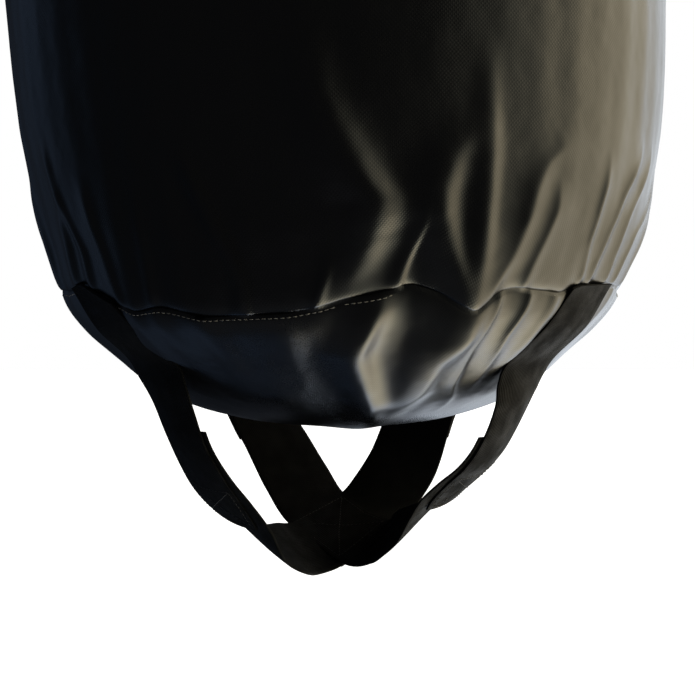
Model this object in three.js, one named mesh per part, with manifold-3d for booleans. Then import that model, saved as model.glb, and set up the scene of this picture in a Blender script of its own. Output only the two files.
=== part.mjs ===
// Agility tunnel, packed in its hanging storage sack.
//
// A dog agility tunnel (a PVC skin on a spring-wire helix, 600 mm across) stands compressed inside a
// round sack of PVC-coated fabric. The sack hangs from four D-rings on webbing tabs at its mouth. Its
// round base sags into a dome, and four webbing legs sewn into the base seam hang down in loose curves
// to a sewn cross, which is the sack's lower handle.
//
// Millimetres, +Z up, -Y is the front. The origin is on the sack's axis, level with the inner tops of
// the D-rings, where hooks carry it.

import * as THREE from "three";
import { mergeVertices } from "three/addons/utils/BufferGeometryUtils.js";
import Module from "manifold-3d";

const wasm = await Module();
wasm.setup();

// ---- Driving dimensions ----

const GAP = 0.4; // clearance between pieces that touch
const FABRIC = 1.2; // thickness of the coated fabric
const AROUND = 40; // facets round the sack and the tunnel

const TUNNEL_DIAMETER = 598; // over the wire
const TUNNEL_TURNS = 20;
const PACK_HEIGHT = 290;
const WIRE = 4;

const HARNESS_WIDTH = 75; // webbing of the lower harness
const TAB_WIDTH = 50; // webbing of the hanging tabs
const WEB = 2.2; // webbing thickness
const LAYER = WEB + 2 * GAP; // from one layer of webbing to the next

const MOUTH_Z = -45;
const BODY_HEIGHT = 620;
const SEAM_Z = MOUTH_Z - BODY_HEIGHT;
const SEAM_RADIUS = 267;
const MOUTH_RADIUS = 310;
const DOME_DEPTH = 128;
const HEM_DEPTH = 50;

const PACK_BOTTOM = SEAM_Z + 210;
const PACK_TOP = PACK_BOTTOM + PACK_HEIGHT;
const WIRE_RADIUS = TUNNEL_DIAMETER / 2 - WIRE / 2; // of the helix's centreline

const QUARTERS = [
  ["front_right", 45],
  ["back_right", 135],
  ["back_left", 225],
  ["front_left", 315],
]; // places of the legs and rings, in degrees from the front towards +X

// ---- Materials ----

const sackFabric = new THREE.MeshStandardMaterial({ color: 0x15161a, roughness: 0.28 });
const sackTape = new THREE.MeshStandardMaterial({ color: 0x17181c, roughness: 0.6 });
const webbing = new THREE.MeshStandardMaterial({ color: 0x0c0c0d, roughness: 0.85 });
const steel = new THREE.MeshStandardMaterial({ color: 0xb9bcc0, roughness: 0.3, metalness: 1 });
const springWire = new THREE.MeshStandardMaterial({ color: 0x8d9094, roughness: 0.4, metalness: 1 });
const tunnelFabric = new THREE.MeshStandardMaterial({ color: 0x1c4fa0, roughness: 0.35 });

// ---- Helpers ----

const root = new THREE.Group();

function add(name, geometry, material, degreesFromFront = 0) {
  const mesh = new THREE.Mesh(geometry, material);
  mesh.name = name;
  mesh.rotation.z = THREE.MathUtils.degToRad(degreesFromFront);
  root.add(mesh);
}

// A shape turned about the vertical axis, from an outline of [radius, height] points in either order.
function turned(outline, facets = AROUND) {
  const points = outline.map(([r, z]) => new THREE.Vector2(r, z));
  if (THREE.ShapeUtils.isClockWise(points)) points.reverse();
  return new THREE.LatheGeometry([...points, points[0]], facets).rotateX(Math.PI / 2);
}

// The line `points` moved sideways by `offset`, to the left of its direction.
function offsetLine(points, offset) {
  return points.map(([x, y], i) => {
    const [ax, ay] = points[Math.max(i - 1, 0)];
    const [bx, by] = points[Math.min(i + 1, points.length - 1)];
    const length = Math.hypot(bx - ax, by - ay);
    return [x - ((by - ay) / length) * offset, y + ((bx - ax) / length) * offset];
  });
}

// Webbing of a width along a centreline of [outwards, height] points in the upright plane through the
// front: a row of four-sided blocks.
function strap(centreline, width) {
  const leaves = [-1, 1].map((side) => offsetLine(centreline, (side * WEB) / 2));
  const corner = (i, leaf, edge) => [(edge * width) / 2, -leaves[leaf][i][0], leaves[leaf][i][1]];
  const positions = [];
  const quad = (a, b, c, d) => positions.push(...a, ...b, ...c, ...a, ...c, ...d);
  const last = centreline.length - 1;
  for (let i = 0; i < last; i++) {
    quad(corner(i, 0, 1), corner(i, 1, 1), corner(i + 1, 1, 1), corner(i + 1, 0, 1));
    quad(corner(i + 1, 0, -1), corner(i + 1, 1, -1), corner(i, 1, -1), corner(i, 0, -1));
    quad(corner(i, 1, -1), corner(i + 1, 1, -1), corner(i + 1, 1, 1), corner(i, 1, 1));
    quad(corner(i, 0, 1), corner(i + 1, 0, 1), corner(i + 1, 0, -1), corner(i, 0, -1));
  }
  quad(corner(0, 0, -1), corner(0, 1, -1), corner(0, 1, 1), corner(0, 0, 1));
  quad(corner(last, 0, 1), corner(last, 1, 1), corner(last, 1, -1), corner(last, 0, -1));
  const geometry = new THREE.BufferGeometry();
  geometry.setAttribute("position", new THREE.Float32BufferAttribute(positions, 3));
  geometry.computeVertexNormals();
  return geometry;
}

function solidOf(geometry) {
  const bare = geometry.index ? geometry.toNonIndexed() : geometry.clone();
  bare.deleteAttribute("normal");
  bare.deleteAttribute("uv");
  const merged = mergeVertices(bare, 1e-3);
  return new wasm.Manifold(
    new wasm.Mesh({
      numProp: 3,
      vertProperties: merged.attributes.position.array,
      triVerts: new Uint32Array(merged.index.array),
    }),
  );
}

function geometryOf(solid) {
  const mesh = solid.getMesh();
  const geometry = new THREE.BufferGeometry();
  geometry.setAttribute("position", new THREE.BufferAttribute(mesh.vertProperties, 3));
  geometry.setIndex(new THREE.BufferAttribute(mesh.triVerts, 1));
  geometry.computeVertexNormals();
  return geometry;
}

// ---- The sack's body ----

// Outer radius of the body at a height above the base seam: it swells fast out of the seam, then runs
// almost straight up to the mouth.
const SWELL = [
  [0, SEAM_RADIUS],
  [18, 273],
  [36, 279],
  [56, 285.4],
  [81, 290],
  [112, 294.8],
  [160, 300.5],
  [205, 304],
  [280, 307.5],
  [BODY_HEIGHT, MOUTH_RADIUS],
];

const EYELET_COUNT = 8;
const EYELET_DROP = 24; // below the mouth
const EYELET_BORE = 5;
const EYELET_BARREL = 6;
const EYELET_FLANGE = 11;

// The body or hem, pierced by the eyelets' holes.
function pierced(geometry) {
  const cutterLength = 40;
  let solid = solidOf(geometry);
  for (let i = 0; i < EYELET_COUNT; i++) {
    const hole = new THREE.CylinderGeometry(EYELET_BARREL + GAP, EYELET_BARREL + GAP, cutterLength, 12)
      .translate(0, -MOUTH_RADIUS, MOUTH_Z - EYELET_DROP)
      .rotateZ(eyeletAngle(i));
    solid = solid.subtract(solidOf(hole));
  }
  return geometryOf(solid);
}

function eyeletAngle(i) {
  return ((i + 0.5) * 2 * Math.PI) / EYELET_COUNT;
}

function sackBody() {
  const outside = SWELL.map(([h, r]) => [r, SEAM_Z + h]);
  const inside = SWELL.map(([h, r]) => [r - FABRIC, SEAM_Z + h]).reverse();
  return pierced(turned([...outside, ...inside]));
}

// The base is one round panel that sags into a dome: radius and depth below the seam.
const DOME = [
  [SEAM_RADIUS, 0],
  [262, 18],
  [247, 38],
  [226, 57],
  [206, 74],
  [186, 89],
  [163, 103],
  [133, 116],
  [95, 124.5],
  [50, 127.4],
  [0, DOME_DEPTH],
];

// The dome's outline grown or shrunk by a distance, as [radius, height from the seam] points.
function domeOutline(grow) {
  return DOME.map(([r, depth]) => [
    (r * (SEAM_RADIUS + grow)) / SEAM_RADIUS,
    (-depth * (DOME_DEPTH + grow)) / DOME_DEPTH,
  ]);
}

function baseDome() {
  const placed = (grow) => domeOutline(grow).map(([r, z]) => new THREE.Vector2(r, SEAM_Z - GAP + z));
  return new THREE.LatheGeometry([...placed(0).reverse(), ...placed(-FABRIC)], AROUND).rotateX(Math.PI / 2);
}

// Binding tape over the raw edges of the seam, inside the sack.
function seamBinding() {
  const outer = SEAM_RADIUS - FABRIC - GAP;
  const height = 16;
  return turned([
    [outer - FABRIC, SEAM_Z],
    [outer, SEAM_Z],
    [outer, SEAM_Z + height],
    [outer - FABRIC, SEAM_Z + height],
  ]);
}

// The folded hem over the mouth's edge, open below, in which the closing cord's eyelets sit.
function mouthHem() {
  const outer = MOUTH_RADIUS + GAP;
  const inner = MOUTH_RADIUS - FABRIC - GAP - 0.2;
  const top = MOUTH_Z + GAP;
  const foot = MOUTH_Z - HEM_DEPTH;
  return pierced(
    turned([
      [outer, foot],
      [outer + FABRIC, foot],
      [outer + FABRIC, top + FABRIC],
      [inner - FABRIC, top + FABRIC],
      [inner - FABRIC, foot],
      [inner, foot],
      [inner, top],
      [outer, top],
    ]),
  );
}

// The lapped strip that closes the body panel into a tube, down the back.
function sideSeam() {
  const width = 30;
  const below = MOUTH_Z - HEM_DEPTH - 2;
  const heights = [...SWELL.map(([h]) => h).filter((h) => h >= 18 && SEAM_Z + h < below), below - SEAM_Z];
  const radius = (h) => {
    const i = SWELL.findIndex(([top]) => top >= h);
    const [h0, r0] = SWELL[i - 1];
    const [h1, r1] = SWELL[i];
    return r0 + ((r1 - r0) * (h - h0)) / (h1 - h0);
  };
  const outside = heights.map((h) => [radius(h) + GAP + FABRIC, SEAM_Z + h]);
  const inside = heights.map((h) => [radius(h) + GAP, SEAM_Z + h]).reverse();
  const wedge = new THREE.BoxGeometry(width, MOUTH_RADIUS, BODY_HEIGHT * 2).translate(0, MOUTH_RADIUS, SEAM_Z);
  return geometryOf(solidOf(turned([...outside, ...inside])).intersect(solidOf(wedge)));
}

function eyelet() {
  const face = 1;
  const outer = MOUTH_RADIUS + GAP + FABRIC + GAP;
  const inner = MOUTH_RADIUS - 2 * FABRIC - 2 * GAP - 2.2;
  const outline = [
    [EYELET_BORE, inner - face],
    [EYELET_FLANGE, inner - face],
    [EYELET_FLANGE, inner],
    [EYELET_BARREL, inner],
    [EYELET_BARREL, outer],
    [EYELET_FLANGE, outer],
    [EYELET_FLANGE, outer + face],
    [EYELET_BORE, outer + face],
  ];
  return turned(outline, 12).rotateX(Math.PI / 2).translate(0, 0, MOUTH_Z - EYELET_DROP);
}

add("sack_body", sackBody(), sackFabric);
add("base_dome", baseDome(), sackFabric);
add("base_seam_binding", seamBinding(), sackTape);
add("mouth_hem", mouthHem(), sackFabric);
add("side_seam_strip", sideSeam(), sackFabric);
for (let i = 0; i < EYELET_COUNT; i++) {
  add(`eyelet_${i + 1}`, eyelet(), steel, THREE.MathUtils.radToDeg(eyeletAngle(i)));
}

// ---- Hanging tabs and D-rings ----

const TAB_OUTER = MOUTH_RADIUS + FABRIC + 2 * GAP + WEB / 2; // centreline of the tab's outer leaf
const TAB_INNER = TAB_OUTER - 10.6; // of its inner leaf, clear of the hem's hollow side
const TAB_LEAF = 90; // each leaf's length below the mouth
const RING_WIRE = 6;
const RING_BAR_Z = MOUTH_Z + 8;
const RING_BAR_RADIUS = (TAB_OUTER + TAB_INNER) / 2;
const RING_HALF_WIDTH = TAB_WIDTH / 2 + RING_WIRE / 2 + 1;
const RING_INNER_TOP = 0; // the hooks' level
const RING_RISE = RING_INNER_TOP + RING_WIRE / 2 - RING_BAR_Z;

// Webbing folded over the ring's bar, with one leaf outside the hem and one inside.
function hangingTab() {
  const foot = MOUTH_Z - TAB_LEAF;
  const bend = (TAB_OUTER - TAB_INNER) / 2;
  const arc = Array.from({ length: 9 }, (_, i) => {
    const angle = (i / 8) * Math.PI;
    return [RING_BAR_RADIUS + bend * Math.cos(angle), RING_BAR_Z + bend * Math.sin(angle)];
  });
  const centreline = [[TAB_OUTER, foot], ...arc, [TAB_INNER, foot]];
  return strap(centreline, TAB_WIDTH);
}

function roundBar(curve, steps) {
  const section = new THREE.Shape().absarc(0, 0, RING_WIRE / 2, 0, 2 * Math.PI);
  return new THREE.ExtrudeGeometry(section, { extrudePath: curve, steps, curveSegments: 4, bevelEnabled: false });
}

// A bow of round wire welded to a straight bar, upright across the front.
function dRing() {
  const bow = new THREE.CatmullRomCurve3(
    Array.from({ length: 17 }, (_, i) => {
      const angle = (i / 16) * Math.PI;
      return new THREE.Vector3(RING_HALF_WIDTH * Math.cos(angle), 0, RING_RISE * Math.sin(angle));
    }),
  );
  const bar = new THREE.CylinderGeometry(RING_WIRE / 2, RING_WIRE / 2, 2 * RING_HALF_WIDTH, 8).rotateZ(Math.PI / 2);
  const corner = (side) => new THREE.SphereGeometry(RING_WIRE / 2, 8, 6).translate(side * RING_HALF_WIDTH, 0, 0);
  const solid = [bar, corner(-1), corner(1)].reduce((sum, g) => sum.add(solidOf(g)), solidOf(roundBar(bow, 16)));
  return geometryOf(solid).translate(0, -RING_BAR_RADIUS, RING_BAR_Z);
}

for (const [place, degrees] of QUARTERS) {
  add(`hanging_tab_${place}`, hangingTab(), webbing, degrees);
  add(`d_ring_${place}`, dRing(), steel, degrees);
}

// ---- The lower harness: four legs and the sewn cross ----

const CROSS_DROP = 245; // the cross's middle below the seam
const CROSS_FLAT = HARNESS_WIDTH / 2 + 6; // half the flat middle where the two cross straps are sewn together
const CROSS_LAP = 176; // how far out the cross straps reach, lapped on the legs' inner faces
const LEG_END = 118; // how far in the legs reach, under the cross straps
const CROSS_TILT = 0.4; // the cross's slope: it hangs low at the front, where the legs are slack
const TILT_FULL = 60; // the slope is full inside this radius
const TILT_NONE = 200; // and gone outside this one

// A strap's run in its upright plane, from the seam down the dome and then in a loose curve to the cross,
// as [radius, height below the seam] points.
function harnessRun() {
  const seat = 4 * GAP + WEB / 2;
  const [first, ...below] = domeOutline(seat).slice(0, 5);
  const onDome = [[first[0], -1], ...below];
  const loose = [
    [199, -92],
    [188, -108],
    [168, -128],
    [144, -150],
    [120, -172],
    [97, -198],
    [70, -226],
    [CROSS_FLAT, -CROSS_DROP],
  ];
  const curve = new THREE.SplineCurve([...onDome, ...loose].map(([r, z]) => new THREE.Vector2(r, z)));
  const run = curve.getSpacedPoints(30).map((p) => [p.x, p.y]);
  return [...run, [CROSS_FLAT / 2, -CROSS_DROP], [0, -CROSS_DROP]];
}

// The run's stretch between two radii, moved `inwards` off it and set at the seam's height.
function harnessStretch(fromRadius, toRadius, inwards) {
  const placed = offsetLine(harnessRun(), -inwards).map(([r, z]) => [r, SEAM_Z + z]);
  return placed.filter(([r]) => r <= fromRadius && r >= toRadius);
}

// Tilts the cross by sliding every point straight up or down, so that lapped pieces stay clear.
function tilted(geometry) {
  const position = geometry.attributes.position;
  for (let i = 0; i < position.count; i++) {
    const [x, y, z] = [position.getX(i), position.getY(i), position.getZ(i)];
    const share = THREE.MathUtils.clamp((TILT_NONE - Math.hypot(x, y)) / (TILT_NONE - TILT_FULL), 0, 1);
    position.setZ(i, z + share * CROSS_TILT * y);
  }
  geometry.computeVertexNormals();
  return geometry;
}

function harnessLeg() {
  return strap(harnessStretch(SEAM_RADIUS + 10, LEG_END, 0), HARNESS_WIDTH);
}

// One strap from leg to opposite leg, on the legs' inner faces. The upper one steps over the lower one.
function crossStrap(step) {
  const half = harnessStretch(CROSS_LAP, 0, LAYER).map(([r, z]) => [r, r < CROSS_FLAT + 12 ? z + step : z]);
  const mirrored = half.slice(0, -1).map(([r, z]) => [-r, z]).reverse();
  return strap([...half, ...mirrored], HARNESS_WIDTH);
}

// A square of webbing sewn under the crossing.
function crossPatch() {
  const square = new THREE.BoxGeometry(HARNESS_WIDTH - 4, HARNESS_WIDTH - 4, WEB);
  return square.translate(0, 0, SEAM_Z - CROSS_DROP);
}

function addToHarness(name, geometry, degreesFromFront) {
  add(name, tilted(geometry.rotateZ(THREE.MathUtils.degToRad(degreesFromFront))), webbing);
}

for (const [place, degrees] of QUARTERS) {
  addToHarness(`harness_leg_${place}`, harnessLeg(), degrees);
}
addToHarness("cross_strap_lower", crossStrap(0), 135);
addToHarness("cross_strap_upper", crossStrap(LAYER), 45);
addToHarness("cross_patch", crossPatch(), 45);

// ---- The packed tunnel ----

const CUFF_HEIGHT = 12;
const HOOP_WIRE = 5;
const HOOP_RADIUS = WIRE_RADIUS - 3;
const SKIN_OUTER = WIRE_RADIUS - WIRE / 2 - 6;
const SKIN_INNER = SKIN_OUTER - 70; // half of the skin between two turns of wire folds inwards

function endHoop(z) {
  return new THREE.TorusGeometry(HOOP_RADIUS, HOOP_WIRE / 2, 4, AROUND).translate(0, 0, z);
}

// The skin's end folded round the end hoop: a channel that opens towards the tunnel's middle.
function endCuff(endZ, inwards) {
  const outer = WIRE_RADIUS + WIRE / 2 - 0.5;
  const inner = HOOP_RADIUS - HOOP_WIRE / 2 - 2;
  const z = (depth) => endZ + inwards * depth;
  const outline = [
    [outer, z(0)],
    [outer, z(CUFF_HEIGHT)],
    [outer - FABRIC, z(CUFF_HEIGHT)],
    [outer - FABRIC, z(FABRIC)],
    [inner + FABRIC, z(FABRIC)],
    [inner + FABRIC, z(CUFF_HEIGHT)],
    [inner, z(CUFF_HEIGHT)],
    [inner, z(0)],
  ];
  return turned(outline);
}

// The pleated skin as the plain ring that its folds fill.
function packedSkin() {
  const low = PACK_BOTTOM + CUFF_HEIGHT + GAP;
  const high = PACK_TOP - CUFF_HEIGHT - GAP;
  return turned([
    [SKIN_OUTER, low],
    [SKIN_OUTER, high],
    [SKIN_INNER, high],
    [SKIN_INNER, low],
  ]);
}

class Helix extends THREE.Curve {
  constructor(low, high) {
    super();
    this.low = low;
    this.high = high;
  }
  getPoint(t) {
    const angle = t * TUNNEL_TURNS * 2 * Math.PI;
    const z = THREE.MathUtils.lerp(this.low, this.high, t);
    return new THREE.Vector3(WIRE_RADIUS * Math.cos(angle), WIRE_RADIUS * Math.sin(angle), z);
  }
}

function wireHelix() {
  const margin = CUFF_HEIGHT + WIRE;
  const path = new Helix(PACK_BOTTOM + margin, PACK_TOP - margin);
  const section = new THREE.Shape().absarc(0, 0, WIRE / 2, 0, 2 * Math.PI);
  const settings = { extrudePath: path, steps: TUNNEL_TURNS * 20, curveSegments: 2, bevelEnabled: false };
  return new THREE.ExtrudeGeometry(section, settings);
}

add("tunnel_skin", packedSkin(), tunnelFabric);
add("tunnel_wire_helix", wireHelix(), springWire);
add("tunnel_lower_cuff", endCuff(PACK_BOTTOM, 1), tunnelFabric);
add("tunnel_lower_hoop", endHoop(PACK_BOTTOM + CUFF_HEIGHT / 2), springWire);
add("tunnel_upper_cuff", endCuff(PACK_TOP, -1), tunnelFabric);
add("tunnel_upper_hoop", endHoop(PACK_TOP - CUFF_HEIGHT / 2), springWire);

export default root;
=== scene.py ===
"""Agility tunnel packed in its hanging storage sack: the looks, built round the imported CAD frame."""

from math import cos, pi, radians, sin

import bmesh
import bpy
import numpy as np
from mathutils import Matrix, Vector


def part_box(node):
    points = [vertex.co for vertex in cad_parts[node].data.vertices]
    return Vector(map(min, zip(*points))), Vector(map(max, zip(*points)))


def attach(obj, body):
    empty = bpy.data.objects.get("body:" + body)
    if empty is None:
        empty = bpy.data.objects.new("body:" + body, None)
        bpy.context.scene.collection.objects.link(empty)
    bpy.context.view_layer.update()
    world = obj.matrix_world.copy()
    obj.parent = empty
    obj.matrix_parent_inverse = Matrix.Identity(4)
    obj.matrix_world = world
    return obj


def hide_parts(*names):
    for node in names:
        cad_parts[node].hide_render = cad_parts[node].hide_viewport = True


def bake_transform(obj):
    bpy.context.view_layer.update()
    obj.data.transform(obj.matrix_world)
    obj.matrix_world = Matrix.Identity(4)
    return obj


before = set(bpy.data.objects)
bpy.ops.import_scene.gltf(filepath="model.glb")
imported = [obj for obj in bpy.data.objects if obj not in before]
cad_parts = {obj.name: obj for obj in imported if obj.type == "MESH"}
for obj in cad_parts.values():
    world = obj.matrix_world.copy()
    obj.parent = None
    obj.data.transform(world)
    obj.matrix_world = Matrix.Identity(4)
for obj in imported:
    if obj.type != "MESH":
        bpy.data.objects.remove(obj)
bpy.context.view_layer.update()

RNG = np.random.default_rng(11)
MM = 0.001

# ---- Dimensions, in millimetres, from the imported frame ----


def low(node):
    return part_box(node)[0].z / MM


def high(node):
    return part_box(node)[1].z / MM


SEAM_Z = low("sack_body")
MOUTH_Z = high("sack_body")
HEM_FOOT, HEM_TOP = low("mouth_hem"), high("mouth_hem")
CUFF = high("tunnel_lower_cuff") - low("tunnel_lower_cuff")
PACK_LOW, PACK_HIGH = low("tunnel_lower_cuff"), high("tunnel_upper_cuff")
SEAM_RADIUS = 267
FABRIC = 1.2
WEB = 2.2
WEB_WIDTH = 75
TAB_WIDTH = 50
THREAD = 0.35
QUARTERS = {"front_right": 45, "back_right": 135, "back_left": 225, "front_left": 315}


# ---- Small maths ----

UP = np.array([0, 0, 1.0])


def smooth(t):
    t = np.clip(t, 0, 1)
    return t * t * (3 - 2 * t)


def track(h, points, span=8.0):
    """Values at h on a smoothed line through (value, h) points."""
    values, heights = zip(*sorted(points, key=lambda p: p[1]))
    step = span / 8
    grid = np.arange(heights[0] - 2 * span, heights[-1] + 2 * span, step)
    kernel = np.hanning(19)[1:-1]
    table = np.interp(np.pad(grid, 8, mode="reflect", reflect_type="odd"), heights, values)
    return np.interp(h, grid, np.convolve(table, kernel / kernel.sum(), "valid"))


def spline(points, steps):
    """A Catmull-Rom curve through rows of numbers."""
    p = np.asarray(points, float)
    q = np.vstack([2 * p[0] - p[1], p, 2 * p[-1] - p[-2]])
    t = np.linspace(0, 1, steps, endpoint=False)[:, None]
    rows = []
    for a, b, c, d in zip(q, q[1:], q[2:], q[3:]):
        bend, twist = 2 * a - 5 * b + 4 * c - d, 3 * b - a - 3 * c + d
        rows.append(0.5 * (2 * b + (c - a) * t + bend * t**2 + twist * t**3))
    return np.vstack(rows + [p[-1:]])


def unit(v):
    return v / np.maximum(np.linalg.norm(v, axis=-1, keepdims=True), 1e-12)


def polar(phi, r, z):
    """Points from degrees round from the front towards +X, radius and height."""
    a = np.radians(phi)
    return np.stack(np.broadcast_arrays(r * np.sin(a), -r * np.cos(a), z), -1)


def pairs(u, v):
    """A grid of (u, v) from two arrays that stretch to each other's shape."""
    return np.stack(np.broadcast_arrays(u, v), -1)


def facing(degrees):
    """Unit vectors outwards, and to the right seen from outside, at degrees round from the front."""
    a = radians(degrees)
    return np.array([sin(a), -cos(a), 0]), np.array([cos(a), sin(a), 0])


def walked(line):
    """How far along a line each of its points is."""
    return np.concatenate([[0], np.cumsum(np.linalg.norm(np.diff(line, axis=0), axis=1))])


def fold_over(middle, half, foot, bend, steps, turns):
    """(radius, height) points up one side, round a bend and down the other; a negative half starts inside."""
    arc = np.linspace(0, pi, turns)
    up, down = np.linspace(foot, bend, steps)[:-1], np.linspace(bend, foot, steps)[1:]
    top = pairs(middle + half * np.cos(arc), bend + abs(half) * np.sin(arc))
    return np.concatenate([pairs(middle + half, up), top, pairs(middle - half, down)])


# ---- Mesh building ----


class Build:
    """Collects grids of points, in millimetres, into one mesh."""

    def __init__(self):
        self.points, self.faces, self.uvs, self.slots, self.count = [], [], [], [], 0

    def put(self, points):
        points = np.asarray(points, float)
        ids = np.arange(self.count, self.count + points[..., 0].size).reshape(points.shape[:-1])
        self.points.append(points.reshape(-1, 3))
        self.count += ids.size
        return ids

    def plain(self, faces, slot=0):
        """Adds faces that have no flat coordinates."""
        self.faces.append(faces)
        self.uvs.append(np.zeros((len(faces), 4, 2)))
        self.slots.append(np.full(len(faces), slot))

    def quads(self, ids, uv=None, flip=False, wrap=False):
        """Faces of a grid of point ids; uv has one more column than ids where the grid wraps."""
        if wrap:
            ids = np.concatenate([ids, ids[:, :1]], 1)
        if uv is None:
            uv = np.zeros(ids.shape + (2,))
        low, high = slice(None, -1), slice(1, None)
        corners = [(low, low), (low, high), (high, high), (high, low)]
        if flip:
            corners.reverse()
        self.faces.append(np.stack([ids[c] for c in corners], -1).reshape(-1, 4))
        self.uvs.append(np.stack([uv[c] for c in corners], -2).reshape(-1, 4, 2))
        self.slots.append(np.zeros(len(self.faces[-1]), int))

    def shell(self, outer, inner, uv, wrap=False):
        """A thin closed sheet between two grids. Seen from outside, columns run right and rows run up."""
        a, b = self.put(outer), self.put(inner)
        self.quads(a, uv, wrap=wrap)
        self.quads(b, uv, flip=True, wrap=wrap)
        self.quads(np.stack([b[0], a[0]]), uv[[0, 0]], wrap=wrap)
        self.quads(np.stack([a[-1], b[-1]]), uv[[-1, -1]], wrap=wrap)
        if not wrap:
            self.quads(np.stack([b[:, 0], a[:, 0]], 1), uv[:, [0, 0]])
            self.quads(np.stack([a[:, -1], b[:, -1]], 1), uv[:, [-1, -1]])

    def ring(self, outline):
        """A closed surface from a grid that wraps both ways."""
        ids = self.put(outline)
        ids = np.concatenate([ids, ids[:1]], 0)
        rows, cols = ids.shape[0], ids.shape[1] + 1
        uv = np.stack(np.meshgrid(np.linspace(0, 1, cols), np.linspace(0, 1, rows)), -1)
        self.quads(ids, uv, wrap=True)

    def stitches(self, line, normals, pitch=4.8, length=3.5, radius=THREAD, slot=1):
        """Short raised threads along a line of points."""
        along = walked(line)
        starts = np.arange(pitch / 2, along[-1] - length, pitch)
        sides, rings = 6, 6
        t = np.linspace(0, 1, rings)
        at = starts[:, None] + t * length
        centre = np.stack([np.interp(at, along, line[:, k]) for k in range(3)], -1)
        up = unit(np.stack([np.interp(at, along, normals[:, k]) for k in range(3)], -1))
        forward = unit(np.gradient(centre, axis=1))
        side = unit(np.cross(forward, up))
        girth = radius * np.sqrt(np.clip(1 - (2 * t - 1) ** 4, 0.02, 1))
        lift = radius * (0.9 * np.sin(pi * t) - 0.25)
        around = np.arange(sides) * 2 * pi / sides
        disc = np.cos(around)[:, None] * side[:, :, None, :] + np.sin(around)[:, None] * up[:, :, None, :]
        body = (centre + lift[:, None] * up)[:, :, None, :] + girth[None, :, None, None] * disc
        ids = self.put(body)
        ring = np.concatenate([ids, ids[:, :, :1]], 2)
        a, b, c, d = ring[:, :-1, :-1], ring[:, :-1, 1:], ring[:, 1:, 1:], ring[:, 1:, :-1]
        quads = np.stack([a, b, c, d], -1).reshape(-1, 4)
        caps = []
        for end, order in ((0, (0, 3, 2, 1)), (-1, (0, 1, 2, 3))):
            for first in (0, 3):
                pick = [(first + k) % sides for k in range(4)]
                caps.append(ids[:, end][:, pick][:, order])
        self.plain(np.concatenate([quads, *caps]), slot)

    def make(self, name, *materials, sharp=50):
        """The mesh as a new object, with its materials in the order of their slots."""
        mesh = bpy.data.meshes.new(name)
        points = np.concatenate(self.points) * MM
        faces = np.concatenate(self.faces)
        mesh.vertices.add(len(points))
        mesh.vertices.foreach_set("co", points.ravel())
        mesh.loops.add(faces.size)
        mesh.loops.foreach_set("vertex_index", faces.ravel())
        mesh.polygons.add(len(faces))
        mesh.polygons.foreach_set("loop_start", np.arange(0, faces.size, 4))
        mesh.polygons.foreach_set("material_index", np.concatenate(self.slots))
        mesh.uv_layers.new(name="UVMap").data.foreach_set("uv", np.concatenate(self.uvs).ravel() * MM)
        mesh.update(calc_edges=True)
        mesh.validate()
        for material in materials:
            mesh.materials.append(material)
        mesh.polygons.foreach_set("use_smooth", np.ones(len(mesh.polygons), bool))
        mesh.set_sharp_from_angle(angle=radians(sharp))
        piece = bpy.data.objects.new(name, mesh)
        bpy.context.scene.collection.objects.link(piece)
        return piece


def tube(build, line, radius, sides=10, closed=False):
    """A round bar along a line of points in or near one plane."""
    line = np.asarray(line, float)
    forward = unit(np.roll(line, -1, 0) - np.roll(line, 1, 0)) if closed else unit(np.gradient(line, axis=0))
    start = np.cross(forward[0], forward[len(line) // 7 + 1])
    side = np.empty_like(line)
    side[0] = unit(start if np.linalg.norm(start) > 1e-6 else np.cross(forward[0], [0.3, 0.2, 1]))
    for i in range(1, len(line)):
        side[i] = unit(side[i - 1] - forward[i] * (side[i - 1] @ forward[i]))
    up = np.cross(forward, side)
    around = np.arange(sides) * 2 * pi / sides
    disc = np.cos(around)[:, None] * side[:, None] + np.sin(around)[:, None] * up[:, None]
    grid = line[:, None] + radius * disc
    if closed:
        build.ring(grid)
        return
    ids = build.put(grid)
    build.quads(ids, wrap=True)
    for end, flip in ((0, True), (-1, False)):
        for first in range(0, sides - 2, 2):
            face = ids[end][[0, first + 1, (first + 2) % sides, (first + 3) % sides]]
            build.plain((face[::-1] if flip else face)[None])


# Webbing's section: places across it from edge to edge, and its thickness there as a share of WEB.
EDGE_AT = np.array([-1, -0.985, -0.94, -0.72, -0.45, -0.2, 0, 0.2, 0.45, 0.72, 0.94, 0.985, 1])
EDGE_THICK = np.array([0.3, 0.85, 1.08, 1, 1, 1, 1, 1, 1, 1, 1.08, 0.85, 0.3])
MID = len(EDGE_AT) // 2


def ribbon(build, middle, width, shift=0.0):
    """Webbing round its middle surface, a grid with EDGE_AT across; returns the surface and its normals."""
    along = np.gradient(middle, axis=0)
    across = np.gradient(middle, EDGE_AT, axis=1)
    normal = unit(np.cross(across, along))
    middle = middle + shift * normal
    half = normal * (WEB / 2) * EDGE_THICK[None, :, None]
    uv = pairs(EDGE_AT[None] * width / 2, walked(middle[:, MID])[:, None])
    build.shell(middle + half, middle - half, uv)
    return middle, normal


# ---- Materials ----


def material(name, base, roughness, metallic=0.0, **sockets):
    made = bpy.data.materials.new(name)
    made.use_nodes = True
    shader = made.node_tree.nodes["Principled BSDF"]
    shader.inputs["Base Color"].default_value = (*base, 1)
    shader.inputs["Roughness"].default_value = roughness
    shader.inputs["Metallic"].default_value = metallic
    for socket, value in sockets.items():
        shader.inputs[socket.replace("_", " ")].default_value = value
    return made


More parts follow.
